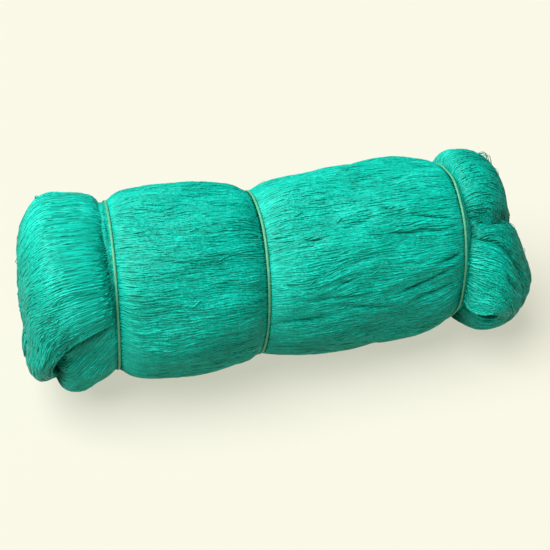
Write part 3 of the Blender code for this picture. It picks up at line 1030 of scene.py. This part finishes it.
def make_tie(name, material):
    """A tie: a flat oval section carried round the pinched body, wandering a little sideways."""
    turn = np.linspace(0, FULL_TURN, TIE_STEPS, endpoint=False)
    section = np.linspace(0, FULL_TURN, TIE_SIDES, endpoint=False)
    x = np.full(TIE_STEPS, TIES[name].x)
    at = (0 * turn, turn, TIES[name].seed)
    wander = fields_at(TIE_WANDER, *at)
    middle = body_point(x, turn, np.full(TIE_STEPS, TIE_GAP + TIE_THICKNESS / 2))
    outward = body_point(x, turn, np.full(TIE_STEPS, TIE_GAP + OUTER_STEP)) - middle
    outward /= np.linalg.norm(outward, axis=1, keepdims=True)
    fraying = fields_at(TIE_FRAYING, *at, 1)[:, None]
    ribs = 1 + RIB_HEIGHT * np.cos(TIE_RIBS * section)[None] * fraying
    width = TIE_WIDTH / 2 * fields_at(TIE_SWELL, *at, 1)[:, None]
    rise = TIE_THICKNESS / 2 * np.sin(section)[None] * ribs
    points = middle[:, None] + outward[:, None] * rise[..., None]
    points[..., 0] += wander[:, None] + width * np.cos(section)[None] * ribs
    faces, uvs = grid_faces(TIE_STEPS + 1, TIE_SIDES)
    faces = faces % (TIE_STEPS * TIE_SIDES)  # the last ring is the first one again
    piece = make_mesh(f"{name}_twine", points.reshape(-1, 3), faces, uvs)
    piece.data.materials.append(material)
    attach(piece, "root")
    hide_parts(name)


# ---- studio
def make_floor():
    """A plain pale floor under the hank: a translucent sheet, lit softly from below and above."""
    far = FLOOR_REACH
    corners = [(-far, -far, 0), (far, -far, 0), (far, far, 0), (-far, far, 0)]
    mesh = bpy.data.meshes.new("studio_floor")
    mesh.from_pydata(corners, [], [(0, 1, 2, 3)])
    floor = add_object("studio_floor", mesh)
    made, tree = new_material("pale studio floor")
    add_shader(
        tree, Base_Color=linear("74736D"), Roughness=0.9, Specular_IOR_Level=0.1,
        Emission_Color=linear("F9F8E4"), Emission_Strength=0.58,
    )
    mesh.materials.append(made)


def look_at(obj, azimuth, elevation, distance, aim):
    """Puts obj at a distance from aim, seen from azimuth and elevation in degrees, facing it."""
    a, e = math.radians(azimuth), math.radians(elevation)
    back = Vector((math.sin(a) * math.cos(e), -math.cos(a) * math.cos(e), math.sin(e)))
    obj.location = Vector(aim) + back * distance
    obj.rotation_euler = back.to_track_quat("Z", "Y").to_euler()


def make_camera():
    """The camera: level, looking down on the hank's front from a little to its left."""
    data = bpy.data.cameras.new("camera")
    data.lens = CAMERA_LENS
    camera = add_object("camera", data)
    aim = np.array(CAMERA_AIM) + ORIGIN_SHIFT
    look_at(camera, CAMERA_AZIMUTH, CAMERA_ELEVATION, CAMERA_DISTANCE, aim)
    bpy.context.scene.camera = camera


def make_lamp():
    """A far, soft lamp that lights the whole set evenly, from above and to the left."""
    data = bpy.data.lights.new("key_lamp", "SUN")
    data.energy = LAMP_POWER
    data.angle = math.radians(LAMP_SPREAD)
    look_at(add_object("key_lamp", data), LAMP_AZIMUTH, LAMP_ELEVATION, LAMP_DISTANCE, (0, 0, 0))


def make_studio():
    """Floor, camera, soft lamp and a pale surround."""
    make_floor()
    make_camera()
    make_lamp()
    world = bpy.data.worlds.new("pale surround")
    world.use_nodes = True
    background = world.node_tree.nodes["Background"]
    background.inputs["Color"].default_value = linear("F4F5EC")
    background.inputs["Strength"].default_value = SURROUND_STRENGTH
    bpy.context.scene.world = world
    bpy.context.scene.view_settings.view_transform = "Standard"


# ---- assembly
def origin_shift():
    """From the tables' own frame to the part's: where the middle tie is, less where they put it."""
    steps = 720
    turn = np.linspace(0, FULL_TURN, steps)
    ring = body_point(np.full(steps, MIDDLE_X), turn, np.zeros(steps))
    low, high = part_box("tie_middle")
    own_y = (ring.min(axis=0)[1] + ring.max(axis=0)[1]) / 2
    return np.array([(low[0] + high[0]) / 2 - MIDDLE_X, (low[1] + high[1]) / 2 - own_y, 0.0])


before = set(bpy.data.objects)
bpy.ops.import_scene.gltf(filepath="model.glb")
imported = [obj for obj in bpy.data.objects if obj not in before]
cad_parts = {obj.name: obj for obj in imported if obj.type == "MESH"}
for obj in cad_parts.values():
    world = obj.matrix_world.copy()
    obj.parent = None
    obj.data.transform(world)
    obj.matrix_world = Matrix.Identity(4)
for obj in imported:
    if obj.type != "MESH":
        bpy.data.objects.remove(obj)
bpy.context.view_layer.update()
ORIGIN_SHIFT = origin_shift()
make_net()
tie_material = split_film_twine()
for tie_name in TIES:
    make_tie(tie_name, tie_material)
make_studio()
